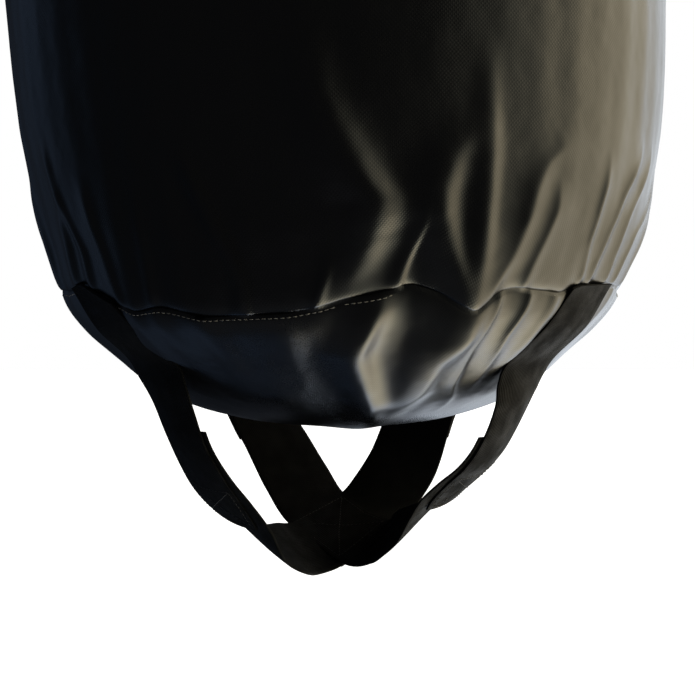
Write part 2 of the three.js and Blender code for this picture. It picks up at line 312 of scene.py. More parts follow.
class Nodes:
    """Short ways to add nodes to a material."""

    def __init__(self, made):
        self.tree = made.node_tree
        self.shader = self.tree.nodes["Principled BSDF"]
        self.coords = self.tree.nodes.new("ShaderNodeTexCoord")

    def feed(self, socket, value):
        """Links another node's output to a socket, or gives the socket a plain value."""
        if isinstance(value, bpy.types.NodeSocket):
            self.tree.links.new(value, socket)
        else:
            socket.default_value = value

    def add(self, kind, **inputs):
        node = self.tree.nodes.new(kind)
        for key, value in inputs.items():
            self.feed(node.inputs[key.replace("_", " ")], value)
        return node

    def noise(self, scale, detail=3.0, source="Object"):
        node = self.add("ShaderNodeTexNoise", Vector=self.coords.outputs[source], Scale=scale, Detail=detail)
        return node.outputs["Fac"]

    def bands(self, pitch, direction, distortion=0.0, turned=0):
        """Ridges across the mesh's own flat coordinates, a pitch apart in metres and turned by degrees."""
        turn = (0, 0, radians(turned))
        flat = self.add("ShaderNodeMapping", Vector=self.coords.outputs["UV"], Rotation=turn)
        node = self.add("ShaderNodeTexWave", Vector=flat.outputs[0], Scale=2 * pi / (20 * pitch),
                        Distortion=distortion, Detail=1.0)
        node.bands_direction = direction
        return node.outputs["Fac"]

    def math(self, operation, a, b):
        node = self.tree.nodes.new("ShaderNodeMath")
        node.operation = operation
        self.feed(node.inputs[0], a)
        self.feed(node.inputs[1], b)
        return node.outputs[0]

    def spread(self, value, low_value, high_value, low_from=0.3, high_from=0.7):
        """Maps the range from low_from to high_from onto the range between the two values."""
        ends = {"From_Min": low_from, "From_Max": high_from, "To_Min": low_value, "To_Max": high_value}
        return self.add("ShaderNodeMapRange", Value=value, **ends).outputs[0]

    def colour(self, factor, dark, light):
        """Base colour from dark to light by a factor."""
        node = self.tree.nodes.new("ShaderNodeMix")
        node.data_type = "RGBA"
        node.inputs[6].default_value = (*dark, 1)
        node.inputs[7].default_value = (*light, 1)
        self.tree.links.new(factor, node.inputs[0])
        self.tree.links.new(node.outputs[2], self.shader.inputs["Base Color"])

    def bump(self, *layers):
        """Bump from (height, depth in metres) layers."""
        normal = None
        for height, depth in layers:
            node = self.add("ShaderNodeBump", Height=height, Distance=depth, Strength=1.0)
            if normal:
                self.tree.links.new(normal, node.inputs["Normal"])
            normal = node.outputs[0]
        self.tree.links.new(normal, self.shader.inputs["Normal"])

    def roughness(self, value):
        self.tree.links.new(value, self.shader.inputs["Roughness"])


WEAVE_PITCH = 0.0021


def coated_fabric(name, dark, light, rough, weave_depth):
    """PVC-coated cloth: a gloss coat that shows the scrim under it."""
    made = material(name, dark, rough[0], Specular_IOR_Level=0.5)
    n = Nodes(made)
    weave = n.math("MULTIPLY", n.bands(WEAVE_PITCH, "X", 0.6, 45), n.bands(WEAVE_PITCH, "Y", 0.6, 45))
    slack = n.noise(28.0, 2.0)
    grain = n.noise(900.0, 2.0)
    n.colour(n.spread(n.noise(6.0, 5.0), 0.0, 1.0), dark, light)
    n.roughness(n.math("ADD", n.spread(n.noise(9.0, 6.0), rough[0], rough[1]), n.spread(grain, 0.0, 0.03)))
    n.bump((slack, 0.0012), (weave, weave_depth), (grain, 0.00002))
    return made


def webbing(name, dark, light):
    """Matt woven tape: ribs along it, picks across it, fuzz and wear."""
    made = material(name, dark, 0.85, Specular_IOR_Level=0.18)
    n = Nodes(made)
    ribs = n.bands(WEAVE_PITCH, "X", 0.3)
    picks = n.bands(0.0013, "Y", 0.5)
    weave = n.math("ADD", ribs, n.math("MULTIPLY", picks, 0.6))
    fuzz = n.noise(1500.0, 3.0)
    wear = n.math("MULTIPLY", n.noise(22.0, 6.0), n.spread(ribs, 0.6, 1.0, 0.0, 1.0))
    n.colour(n.spread(wear, 0.0, 1.0, 0.3, 0.62), dark, light)
    n.roughness(n.spread(n.noise(60.0, 4.0), 0.68, 0.92))
    n.bump((weave, 0.0003), (fuzz, 0.00015))
    return made


def metal(name, dark, light, rough):
    made = material(name, light, rough[0], metallic=1.0)
    n = Nodes(made)
    n.colour(n.spread(n.noise(35.0, 6.0), 0.0, 1.0), dark, light)
    n.roughness(n.spread(n.noise(160.0, 5.0), rough[0], rough[1]))
    n.bump((n.noise(420.0, 3.0), 0.00003))
    return made


def thread(name, dark, light):
    made = material(name, light, 0.65)
    n = Nodes(made)
    n.colour(n.spread(n.noise(1800.0, 2.0), 0.0, 1.0), dark, light)
    n.bump((n.noise(2600.0, 2.0), 0.0001))
    return made


SACK = coated_fabric("black_coated_fabric", (0.0055, 0.0058, 0.007), (0.009, 0.0092, 0.0105),
                     (0.24, 0.33), 0.00006)
TAPE = webbing("binding_tape", (0.008, 0.008, 0.009), (0.018, 0.018, 0.019))
STRAP = webbing("black_webbing", (0.003, 0.003, 0.0034), (0.009, 0.0088, 0.0085))
THREAD_LIGHT = thread("pale_thread", (0.3, 0.28, 0.25), (0.58, 0.55, 0.5))
THREAD_DARK = thread("black_thread", (0.02, 0.02, 0.021), (0.05, 0.05, 0.052))
RING = metal("plated_steel", (0.55, 0.56, 0.58), (0.78, 0.79, 0.8), (0.12, 0.24))
PLATING = metal("plated_eyelet", (0.5, 0.5, 0.52), (0.75, 0.75, 0.76), (0.18, 0.34))
SPRING = metal("spring_wire_steel", (0.3, 0.3, 0.31), (0.5, 0.5, 0.5), (0.28, 0.42))
SLEEVE = coated_fabric("dark_blue_wire_sleeve", (0.006, 0.02, 0.09), (0.01, 0.03, 0.12),
                       (0.35, 0.5), 0.00006)
TUNNEL = coated_fabric("blue_coated_fabric", (0.015, 0.07, 0.3), (0.025, 0.11, 0.4),
                       (0.3, 0.42), 0.00008)

# ---- The sack's two panels ----

# The body's outer radius, and at what height above the base seam.
PROFILE = ((267, 0), (272.5, 18), (278, 36), (284, 56), (288.8, 81), (294.3, 112), (298.8, 142), (301, 168),
           (302.8, 197), (304, 223), (305, 260), (306.5, 400), (307, 520), (309.2, 572), (309.4, 620))

# How far the body hangs off its axis to the right, and at what height.
BODY_SWAY = ((0, 0), (2.5, 35), (1.5, 120), (-2, 200), (-4.5, 260), (-4, 400), (0, 520), (0, 620))

# How far the base seam wanders up or down, and where, in degrees from the front. These places, many of the
# folds' crests and the first form of the legs' runs were picked by eye on the photograph and turned into
# degrees, radii and heights by a helper script. Many have been moved since.
SEAM_FRONT = ((2, -63), (10, -54), (-12, -38), (-7, -32), (-14, -23), (-12, -15), (-10, -8), (-5, -3), (0, 0),
              (4, 4.5), (8, 8.5), (12, 11.5), (5, 16), (-5, 19.5), (-11, 22.3), (-1, 25), (5, 26.7), (8, 30),
              (6, 35), (3, 42), (9, 45.5), (9, 60), (4, 75))
SEAM_BACK = tuple(zip(RNG.uniform(-9, 9, 16), np.linspace(88, 288, 16)))
SEAM_FADE = 150

# The base panel's sag: its radius and its depth below the seam by how far round it is in degrees, from the
# seam (0) to its middle (90). The last point lies beyond the middle and keeps the smoothing level there.
BASE_RADIUS = ((267, 0), (262, 8), (247, 17), (226, 26), (206, 34.5), (186, 42), (163, 50),
               (133, 59), (95, 69), (50, 79), (0, 90), (-50, 101))
BASE_DEPTH = ((0, 0), (18, 8), (38, 17), (57, 26), (74, 34.5), (88.5, 42), (101.5, 50),
              (113.5, 59), (121.5, 69), (124.4, 79), (125, 90), (124.4, 101))


def seam_rise(phi):
    """The base seam's height at degrees from the front."""
    at = (np.asarray(phi) + 72) % 360 - 72
    loop = SEAM_FRONT + SEAM_BACK + ((2, 297),)
    return track(at, loop, 1.8)


# Folds in the body panel: sharp or soft, width of the left and right flank, crest as (degrees, height)
# points, and depth as (depth, height) points. The back's folds are drawn at random.
BODY_FOLDS = [
    (0, 26, 17, ((-3.6, 170), (-3, 145), (-1.2, 119), (1, 95), (2.9, 80), (4.7, 68), (4.2, 52), (3, 36),
                 (1, 18), (-0.6, 6)),
     ((0, 205), (6, 150), (9, 119), (10, 95), (10.5, 68), (9, 52), (7, 36), (5, 18), (3, 4))),
    (0, 5, 5, ((-2.5, 25), (-4, 0)), ((0, 40), (2.5, 18), (2.5, 2))),
    (0, 8, 3, ((11.6, 47), (10.7, 33), (9.8, 20), (9.2, 6)), ((0, 60), (2, 42), (2, 4))),
    (0, 22, 13, ((18, 125), (15.2, 100), (13.8, 78), (13.8, 58), (15.2, 36), (17, 22), (19.5, 5)),
     ((0, 138), (4, 110), (7, 90), (8.5, 60), (7, 36), (5, 15), (3, 4))),
    (0, 12, 9, ((20.6, 172), (20.8, 136), (21, 105), (21, 85), (20.8, 50), (20.9, 27), (21.4, 6)),
     ((0, 190), (2.5, 150), (4.5, 120), (5, 90), (5, 50), (3.5, 27), (2, 4))),
    (1, 14, 14, ((33.8, 111), (31.2, 99), (29.4, 81), (28.6, 59), (27.7, 40), (26.8, 21), (24.8, 5)),
     ((0, 128), (3, 104), (5.5, 80), (6.5, 50), (5, 20), (3, 4))),
    (1, 7, 12, ((34.2, 66), (33, 44), (32, 25), (31.5, 8)), ((0, 90), (4, 62), (4, 5))),
    (1, 5, 6, ((45.7, 88), (44.6, 60), (44, 37), (45.6, 8)), ((0, 112), (3, 80), (3, 5))),
    (1, 6, 5, ((56.7, 111), (52.3, 78), (49.8, 45), (48.8, 12)), ((0, 128), (3, 95), (3, 5))),
    (1, 6, 5, ((62.7, 110), (59.6, 84), (55.8, 58), (55.3, 27), (56, 8)), ((0, 128), (3, 95), (3, 5))),
    (1, 5, 6, ((71.2, 82), (63, 46), (61.7, 12)), ((0, 105), (2.5, 76), (3, 5))),
    (1, 6, 6, ((78, 100), (70, 12)), ((0, 122), (3, 84), (3, 5))),
    (0, 10, 6, ((-23.3, 108), (-21.3, 83), (-18.6, 58), (-16.6, 36), (-15.7, 22), (-15.5, 2)),
     ((0, 125), (3, 92), (3, 4))),
    (0, 9, 7, ((-55.7, 111), (-54.8, 82), (-50, 30)), ((0, 128), (2.5, 100), (2.5, 10))),
    (0, 9, 7, ((-45, 80), (-42.6, 27), (-41.3, 4)), ((0, 98), (2, 70), (2, 4))),
    (0, 7, 6, ((-33, 70), (-33, 4)), ((0, 90), (1.2, 50), (1.5, 4))),
]
for angle in np.concatenate([np.linspace(88, 286, 19), [-66, -59]]):
    angle += RNG.uniform(-4, 4)
    reach = RNG.uniform(70, 170)
    lean = RNG.uniform(-7, 7)
    depth = RNG.uniform(2.5, 5)
    BODY_FOLDS.append((int(RNG.integers(0, 2)), RNG.uniform(6, 16), RNG.uniform(6, 12),
                       ((angle + lean, reach), (angle + lean / 4, reach / 2), (angle, 4)),
                       ((0, reach * 1.1), (depth * 0.7, reach * 0.6), (depth, reach * 0.3), (depth * 0.7, 4))))

# The same for the base panel, by depth below the seam.
BASE_FOLDS = [
    (0, 30, 14, ((22.3, 8), (21.9, 24), (17.8, 48), (16.8, 74), (12, 98)),
     ((3, 4), (7, 30), (10, 60), (9, 80), (2, 112))),
    (0, 21, 11, ((6, 10), (4, 27), (2.6, 42), (4.6, 64), (7.2, 89), (8, 105)),
     ((3, 6), (9, 30), (9, 70), (1, 112))),
    (1, 8, 4, ((27.1, 9), (25.1, 40), (26, 71), (29, 87)), ((3, 6), (3, 70), (0, 100))),
    (1, 5, 6, ((33.5, 10), (31.9, 33), (32.6, 59)), ((3, 6), (3, 45), (0, 80))),
    (0, 7, 7, ((40, 8), (38, 50)), ((2, 6), (2, 40), (0, 75))),
    (0, 16, 12, ((-10, 8), (-9, 50)), ((1, 6), (0.8, 35), (0, 80))),
    (0, 12, 12, ((-24, 8), (-22, 50)), ((2, 6), (1.5, 35), (0, 80))),
    (0, 10, 14, ((-33, 8), (-31, 50)), ((2, 6), (1.5, 35), (0, 80))),
    (1, 6, 7, ((51, 8), (50, 45)), ((2.5, 6), (2, 35), (0, 70))),
    (1, 7, 5, ((64, 8), (62, 45)), ((2.5, 6), (2, 35), (0, 70))),
]
for angle in np.linspace(84, 288, 15):
    angle += RNG.uniform(-5, 5)
    depth = RNG.uniform(2, 5)
    BASE_FOLDS.append((int(RNG.integers(0, 2)), RNG.uniform(8, 16), RNG.uniform(8, 16),
                       ((angle, 6), (angle + RNG.uniform(-6, 6), 70)),
                       ((depth * 0.7, 6), (depth, 35), (0, 95))))


def wave_set(count, fewest, most, slowest, fastest):
    """Random waves: how many go round, how fast they change with height, and two phases."""
    return [(RNG.integers(fewest, most), RNG.uniform(slowest, fastest), RNG.uniform(0, 2 * pi),
             RNG.uniform(0, 2 * pi)) for _ in range(count)]


WAVES = wave_set(7, 2, 9, 0.004, 0.02)
RIPPLES = wave_set(6, 30, 70, 0.002, 0.006)


def folds(kind, phi, h, radius):
    """How far a list of folds lifts the surface at degrees from the front and height or depth."""
    total = np.zeros(np.broadcast(phi, h).shape)
    for sharp, left, right, crest, depth in kind:
        away = np.radians((phi - track(h, crest) + 180) % 360 - 180) * radius
        q = np.abs(away) / np.where(away < 0, left, right)
        ridge = np.exp(0.245 - np.sqrt(q * q + 0.06)) if sharp else np.exp(-q * q)
        total += np.maximum(track(h, depth), 0) * ridge
    return total


def body_point(phi, h, out=0.0):
    """The body panel's outer face at degrees from the front and height above the seam."""
    phi, h = np.broadcast_arrays(np.asarray(phi, float), np.asarray(h, float))
    radius = track(h, PROFILE, 10)
    a = np.radians(phi)
    low_waves = sum(np.sin(m * a + k * h + s) * np.cos(k * 1.7 * h + t) for m, k, s, t in WAVES) * 0.45
    ripples = sum(np.sin(m * a + k * h + s + 0.8 * np.sin(3 * a + t)) for m, k, s, t in RIPPLES) * 0.1
    calm = smooth((560 - h) / 120)
    radius = radius + (low_waves * smooth(h / 60) + ripples) * calm
    drawn_in = 3.2 * np.exp(-h / 3.5)
    radius = radius + folds(BODY_FOLDS, phi, h, radius) - drawn_in + out
    z = SEAM_Z + h + seam_rise(phi) * (1 - smooth(h / SEAM_FADE))
    return polar(phi, radius, z) + track(h, BODY_SWAY, 10)[..., None] * np.array([1, 0, 0])


def base_point(phi, turn, out=0.0):
    """The base panel's outer face at degrees from the front and degrees down from the seam to its middle."""
    phi, turn = np.broadcast_arrays(np.asarray(phi, float), np.asarray(turn, float))
    radius, depth = track(turn, BASE_RADIUS, 6), track(turn, BASE_DEPTH, 6)
    slope_r = track(turn + 1, BASE_RADIUS, 6) - track(turn - 1, BASE_RADIUS, 6)
    slope_d = track(turn + 1, BASE_DEPTH, 6) - track(turn - 1, BASE_DEPTH, 6)
    steep = np.hypot(slope_r, slope_d)
    normal_r, normal_z = slope_d / steep, slope_r / steep
    t = np.radians(turn)
    a = np.radians(phi)
    soft = sum(np.sin(m * a + s) * np.sin(k * 120 * t + p) for m, k, s, p in WAVES) * 0.5 * np.sin(2 * t) ** 2
    fine = sum(np.sin(m * a + s) for m, k, s, p in RIPPLES) * 0.12 * np.exp(-depth / 30)
    turned = (phi + 180) % 360 - 180
    hollow = 5 + 4 * smooth((turned - 35) / 25) * smooth((125 - turned) / 20)
    radius = radius - np.sin(pi * np.clip(depth / 85, 0, 1)) * hollow
    drawn_in = 2.8 * np.exp(-depth / 3)
    shift = folds(BASE_FOLDS, phi, depth, np.maximum(radius, 1)) + soft + fine - drawn_in + out
    radius = radius - 0.8 * np.exp(-depth / 1.2)
    fade = np.exp(-depth / 45) * (1 - smooth(turn / 90))
    z = SEAM_Z - 0.5 - depth + 0.9 * np.exp(-depth / 1.2) + normal_z * shift + seam_rise(phi) * fade
    return polar(phi, radius + normal_r * shift, z)


COARSE = 1.0
PHI = np.concatenate([np.arange(-80, 80, 0.36 * COARSE), np.arange(80, 280, 0.86 * COARSE)])


def rows(*stops):
    """Values from (start, spacing) pairs up to a last (end, None)."""
    found = [np.arange(a, b, step * COARSE) for (a, step), (b, _) in zip(stops, stops[1:])]
    return np.concatenate(found + [[stops[-1][0]]])


def normals_of(point, first, second):
    """A surface's normals at pairs of its coordinates, outward where the second one rises."""
    across = point(first + 0.2, second) - point(first - 0.2, second)
    up = point(first, second + 0.5) - point(first, second - 0.5)
    return unit(np.cross(across, up))


def body_panel():
    h = rows((0, 1.2), (10, 2.2), (140, 4), (260, 8), (586, None))
    outer = body_point(PHI[None], h[:, None])
    inner = body_point(PHI[None], h[:, None], -FABRIC)
    u = np.append(PHI, 280) * pi / 180 * 300
    build = Build()
    build.shell(outer, inner, pairs(u[None], h[:, None]), wrap=True)
    return build.make("sack_body_panel", SACK)


def base_panel():
    turn = rows((0.5, 0.35), (3, 0.7), (20, 1.3), (89, None))[::-1]
    flange = np.array([0.4, 1.5, 3, 5, 7.5])[:, None]

    def face(out):
        """The sag, and the flange that is sewn in behind the body panel."""
        sag = base_point(PHI[None], turn[:, None], out)
        return np.concatenate([sag, body_point(PHI[None], flange, out - FABRIC - 0.2)])

    a = np.radians(np.append(PHI, 280))
    flat_radius = SEAM_RADIUS * 1.16
    r = np.append(flat_radius * (90 - turn) / 90, flat_radius + flange[:, 0])
    uv = np.stack([r[:, None] * np.sin(a), r[:, None] * -np.cos(a)], -1)
    build = Build()
    outer, inner = build.put(face(0.0)), build.put(face(-FABRIC))
    build.quads(outer, uv, wrap=True)
    build.quads(inner, uv, flip=True, wrap=True)
    build.quads(np.stack([outer[-1], inner[-1]]), uv[[-1, -1]], wrap=True)
    for ids, down in ((outer, True), (inner, False)):
        middle = build.put(np.concatenate(build.points)[ids[0]].mean(0)[None, None])
        spokes = np.append(ids[0], ids[0][0])
        first, second, third = spokes[:-2:2], spokes[1:-1:2], spokes[2::2]
        centre = np.full(len(first), middle.ravel()[0])
        build.plain(np.stack((centre, first, second, third) if down else (centre, third, second, first), -1))
    # The thread lies just below the seam. Right of the front it sinks into the puckers, out of sight.
    around = np.arange(0, 360, 0.25)
    hidden = smooth((around - 7) / 3) * (1 - smooth((around - 75) / 5))
    thread_depth = 2.7 - 1.9 * hidden
    depth_there, turn_there = BASE_DEPTH[1]
    thread_turn = thread_depth * turn_there / depth_there
    line = base_point(around, thread_turn, -0.9 * hidden)
    build.stitches(line, -normals_of(base_point, around, thread_turn), length=3.6)
    return build.make("base_panel", SACK, THREAD_LIGHT)


# ---- Binding, side seam, hem, eyelets ----


def seam_binding():
    h = np.linspace(1, 16, 9)
    bulge = 0.5 * np.sin(np.linspace(0, pi, 9))[:, None]
    outer = body_point(PHI[None], h[:, None], -2 * FABRIC - 0.6)
    inner = body_point(PHI[None], h[:, None], -2 * FABRIC - 1.8 - bulge)
    u = np.append(PHI, 280) * pi / 180 * 265
    build = Build()
    build.shell(outer, inner, pairs(u[None], h[:, None]), wrap=True)
    return build.make("seam_binding_tape", TAPE)


def side_strip():
    h = np.linspace(18, 568, 150)
    phi = 180 + np.linspace(-2.8, 2.8, 11)
    lift = 0.5 + 1.1 * np.array([0.3, 0.9, 1, 1, 1, 1, 1, 1, 1, 0.9, 0.3])
    outer = body_point(phi[None], h[:, None], lift[None])
    inner = body_point(phi[None], h[:, None], 0.4)
    uv = pairs((phi - 180)[None] * 5.3, h[:, None])
    build = Build()
    build.shell(outer, inner, uv)
    steps = np.linspace(22, 564, 500)
    for side in (-2.1, 2.1):
        place = np.full_like(steps, 180 + side)
        build.stitches(body_point(place, steps, 1.6), normals_of(body_point, place, steps))
    return build.make("side_seam_lap", SACK, THREAD_DARK)


HEM_MIDDLE = 309.3
HEM_HALF = 2.3
HEM_OUTSIDE = 311.6
EYELET_Z = MOUTH_Z - 24
EYELET_PLACES = [22.5 + 45 * k for k in range(8)]


def hem_wave(phi):
    """How far the hem is from round at degrees from the front."""
    return 0.2 * np.sin(np.radians(phi) * 23) + 0.15 * np.sin(np.radians(phi) * 41 + 1)


def hem():
    phi = np.arange(0, 360, 0.75 * COARSE)
    bend_z = HEM_TOP - HEM_HALF
    outline = np.concatenate([fold_over(HEM_MIDDLE, half, HEM_FOOT, bend_z, 12, 9)
                              for half in (HEM_HALF, FABRIC - HEM_HALF)])
    build = Build()
    ids = build.put(polar(phi[None], outline[:, :1] + hem_wave(phi), outline[:, 1:] + 0 * phi[None]))
    length = walked(np.vstack([outline, outline[:1]]))
    u = np.append(phi, 360) * pi / 180 * 310
    uv = pairs(u[None], length[:, None])
    build.quads(np.concatenate([ids, ids[:1]]), uv, wrap=True)
    cloth = build.make("mouth_hem_fold", SACK)
    holes = Build()
    for degrees in EYELET_PLACES:
        out, _ = facing(degrees)
        tube(holes, [out * r + EYELET_Z * UP for r in (295, 305, 315, 325)], 6.2, 24)
    cutter = holes.make("cutter")
    modifier = cloth.modifiers.new("holes", "BOOLEAN")
    modifier.object, modifier.operation, modifier.solver = cutter, "DIFFERENCE", "EXACT"
    bake_modifiers(cloth)
    bpy.data.objects.remove(cutter)
    return cloth


def hem_stitching():
    build = Build()
    phi = np.arange(0, 360, 0.5)
    out = unit(polar(phi, 1.0, 0.0))
    for z in (HEM_FOOT + 3, HEM_FOOT + 7):
        build.stitches(polar(phi, HEM_OUTSIDE + hem_wave(phi), z), out, slot=0)
    return build.make("hem_stitching", THREAD_DARK)


def bake_modifiers(piece):
    """Puts what the modifiers make into the piece's own mesh."""
    bpy.context.view_layer.update()
    evaluated = piece.evaluated_get(bpy.context.evaluated_depsgraph_get())
    mesh = bpy.data.meshes.new_from_object(evaluated)
    piece.modifiers.clear()
    piece.data = mesh


# An eyelet's section: two rims and the barrel between them, by distance from its middle and from the axis.
EYELET_SECTION = np.array([
    (5, 312.7), (5.5, 313), (7, 313.05), (9.5, 312.9), (10.7, 312.5), (11, 312.1), (10.6, 312), (6, 312),
    (6, 304.6), (10.6, 304.6), (11, 304.4), (10.7, 304.1), (9.5, 303.75), (7, 303.6), (5.5, 303.65), (5, 304)])


def eyelet(number):
    out, across = facing(EYELET_PLACES[number - 1])
    around = np.linspace(0, 2 * pi, 36, endpoint=False)
    disc = np.cos(around)[:, None] * across + np.sin(around)[:, None] * UP
    from_middle, from_axis = EYELET_SECTION[:, 0, None, None], EYELET_SECTION[:, 1, None, None]
    build = Build()
    build.ring(from_middle * disc[None] + from_axis * out + EYELET_Z * UP)
    return build.make(f"eyelet_washer_{number}", PLATING, sharp=70)


# ---- Tabs and D-rings ----

BAR_Z = MOUTH_Z + 8
BAR_RADIUS = 307.8
WALL_RADIUS = 312
TAB_HALF = 5.3
RING_HALF, RING_HEIGHT, RING_BAR = 29, 40, 3.0


def tab_hug(x, z):
    """How far a tab bends back round the wall, at a place across it and a height."""
    return 0.8 * x**2 / (2 * WALL_RADIUS) * smooth((BAR_Z - 12 - z) / 25)


def tab(place):
    out, across = facing(QUARTERS[place])
    foot = low("hanging_tab_" + place)
    r, z = fold_over(BAR_RADIUS, TAB_HALF, foot, BAR_Z, 22, 17).T[..., None]
    offset = EDGE_AT[None] * TAB_WIDTH / 2
    middle = (r - tab_hug(offset, z))[..., None] * out + offset[..., None] * across + z[..., None] * UP
    build = Build()
    ribbon(build, middle, TAB_WIDTH)
    w, h0, h1 = TAB_WIDTH / 2 - 5, foot + 5, HEM_TOP - 5
    corners = [(-w, h0), (w, h0), (w, h1), (-w, h1), (-w, h0), (w, h1)]
    runs = list(zip(corners, corners[1:])) + [((w, h0), (-w, h1))]
    t = np.linspace(0, 1, 40)[:, None]
    for (x0, z0), (x1, z1) in runs:
        x, z = x0 + (x1 - x0) * t, z0 + (z1 - z0) * t
        for face in (1, -1):
            r = BAR_RADIUS + face * (TAB_HALF + WEB / 2) - tab_hug(x, z)
            line = r * out + x * across + z * UP
            build.stitches(line, np.repeat(face * out[None], 40, 0), pitch=3.8, length=3.0)
    return build.make("hanging_tab_webbing_" + place, STRAP, THREAD_DARK)


def d_ring(place):
    out, across = facing(QUARTERS[place])
    t = np.linspace(0, pi, 60)
    bow = np.stack([RING_HALF * np.cos(t), RING_HEIGHT * np.sin(t)], -1)
    bar = np.stack([np.linspace(-RING_HALF, RING_HALF, 40)[1:-1], np.zeros(38)], -1)
    flat = np.concatenate([bow, bar])
    for _ in range(6):
        flat = (np.roll(flat, 1, 0) + 2 * flat + np.roll(flat, -1, 0)) / 4
    line = out * BAR_RADIUS + flat[:, :1] * across + (flat[:, 1:] + BAR_Z) * UP
    build = Build()
    tube(build, line, RING_BAR, 20, closed=True)
    return build.make("d_ring_bar_" + place, RING)


# ---- Harness ----

# Each leg's run: radius and height from the seam, offset to the right seen from outside, how far it is turned
# about its own length in degrees, how far its width curls, and how closely it wraps the base.
LEG_RUNS = {
    "front_right": [(268.5, 2, 33, 0, 0.1, 1), (252, -26, 19, 0, 0.1, 1), (224, -55, 9, 4, 0.2, 0.8),
                    (214, -73, 7, 6, 0.3, 0.3), (209, -91, 6, 10, 0.35, 0), (200, -111, 6, 12, 0.35, 0),
                    (189, -131, 6, 12, 0.35, 0), (176, -149, 5, 10, 0.3, 0), (160, -165, 4, 8, 0.3, 0),
                    (143, -181, 3, 10, 0.3, 0), (126, -198, 3, 17, 0.25, 0), (103, -219, 2, 28, 0.2, 0),
                    (70, -238, 0, 34, 0.1, 0), (43, -252, 0, 26, 0.05, 0), (0, -245, 0, 16, 0, 0)],
    "front_left": [(268.5, -4, -28, 0, 0.1, 1), (254, -26, -17, 0, 0.1, 1), (226, -55, -4, 2, 0.3, 0.7),
                   (217, -76, 0, 5, 0.35, 0.2), (206, -99, 0, 8, 0.35, 0), (194, -128, 0, 9, 0.35, 0),
                   (176, -159, 0, 6, 0.3, 0), (159, -183, 0, 4, 0.25, 0), (139, -207, 0, 8, 0.2, 0),
                   (113, -235, 0, 20, 0.15, 0), (74, -248, 0, 30, 0.1, 0), (43, -253, 0, 26, 0.05, 0),
                   (0, -245, 0, 16, 0, 0)],
    "back_right": [(268.5, -1, 0, 0, 0, 1), (255, -26, 0, 0, 0, 1), (227, -55, 0, 0, 0, 1),
                   (207, -75, 0, 0, 0, 1), (188, -90, 0, 0, 0, 0.9),
                   (168, -105, 0, 2, 0, 0.5), (136, -127, 0, 9, 0, 0),
                   (116, -149, -1, 20, 0, 0), (100, -175, -2, 26, 0, 0), (87, -193, -2, 28, 0, 0),
                   (64, -215, -1, 25, 0, 0), (43, -229, 0, 20, 0, 0), (0, -245, 0, 16, 0, 0)],
    "back_left": [(268.5, -1, 0, 0, 0, 1), (255, -26, 0, 0, 0, 1), (227, -55, 0, 0, 0, 1),
                  (207, -75, 0, 0, 0, 1), (188, -90, 0, 0, 0, 0.9),
                  (168, -105, -1, 1, 0, 0.5), (143, -126, -3, 4, 0, 0),
                  (122, -148, -4, 10, 0, 0), (106, -165, -5, 13, 0, 0), (89, -184, -5, 16, 0, 0),
                  (71, -203, -4, 18, 0, 0), (43, -229, -2, 17, 0, 0), (0, -245, 0, 16, 0, 0)],
}
LEG_TIP = {"front_right": 134, "front_left": 138, "back_right": 114, "back_left": 114}
LAP_START = {"front_right": 196, "front_left": 200, "back_right": 158, "back_left": 176}
LAP_ASIDE = {"front_right": -14, "front_left": 16, "back_right": 0, "back_left": 0}


def leg_surface(place, aside=0.0):
    """The webbing's middle surface from the seam to the harness's middle, and its radii."""
    out, across = facing(QUARTERS[place])
    run = spline(LEG_RUNS[place], 9)
    r, z, side, twist, curl, hug = (run[:, k, None] for k in range(6))
    twist = np.radians(twist) * np.sign(across[1])
    side = side + aside * smooth((r - 50) / 45) * (1 - 0.75 * smooth((r - 130) / 60))
    z = z + SEAM_Z
    flow = unit(np.concatenate([np.gradient(r, axis=0), np.gradient(z, axis=0)], 1))
    face_r, face_z = -flow[:, 1:], flow[:, :1]
    curl, hug = np.maximum(curl, 0.02), np.clip(hug, 0, 1)
    bend = curl * EDGE_AT[None]
    over = WEB_WIDTH / 2 / curl * np.sin(bend)
    rise = WEB_WIDTH / 2 / curl * (np.cos(bend) - 0.5 - 0.5 * np.cos(curl)) - over * np.sin(twist)
    flat_side = side + over * np.cos(twist)
    flat = ((r + face_r * rise)[..., None] * out + flat_side[..., None] * across
            + (z + face_z * rise)[..., None] * UP)
    wrap = (side + EDGE_AT[None] * WEB_WIDTH / 2) / np.maximum(r, 60)
    wrapped = ((r * np.cos(wrap))[..., None] * out + (r * np.sin(wrap))[..., None] * across
               + (z + 0 * wrap)[..., None] * UP)
    middle = flat * (1 - hug[..., None]) + wrapped * hug[..., None]
    phi = np.degrees(np.arctan2(middle[0, :, 0], -middle[0, :, 1]))
    gap = SEAM_Z + seam_rise(phi) - 0.6 - middle[0, :, 2]
    middle[..., 2] += gap[None] * (1 - smooth(walked(middle[:, MID]) / 45))[:, None]
    return middle, run[:, 0]


def pick(grid, row, col):
    """A grid's values at fractional rows and places across."""
    r0 = np.clip(np.floor(row).astype(int), 0, len(grid) - 2)
    f = (row - r0)[:, None]

    def on(whole_rows):
        return np.array([[np.interp(c, EDGE_AT, grid[i, :, k]) for k in range(3)]
                         for i, c in zip(whole_rows, col)])

    return on(r0) * (1 - f) + on(r0 + 1) * f


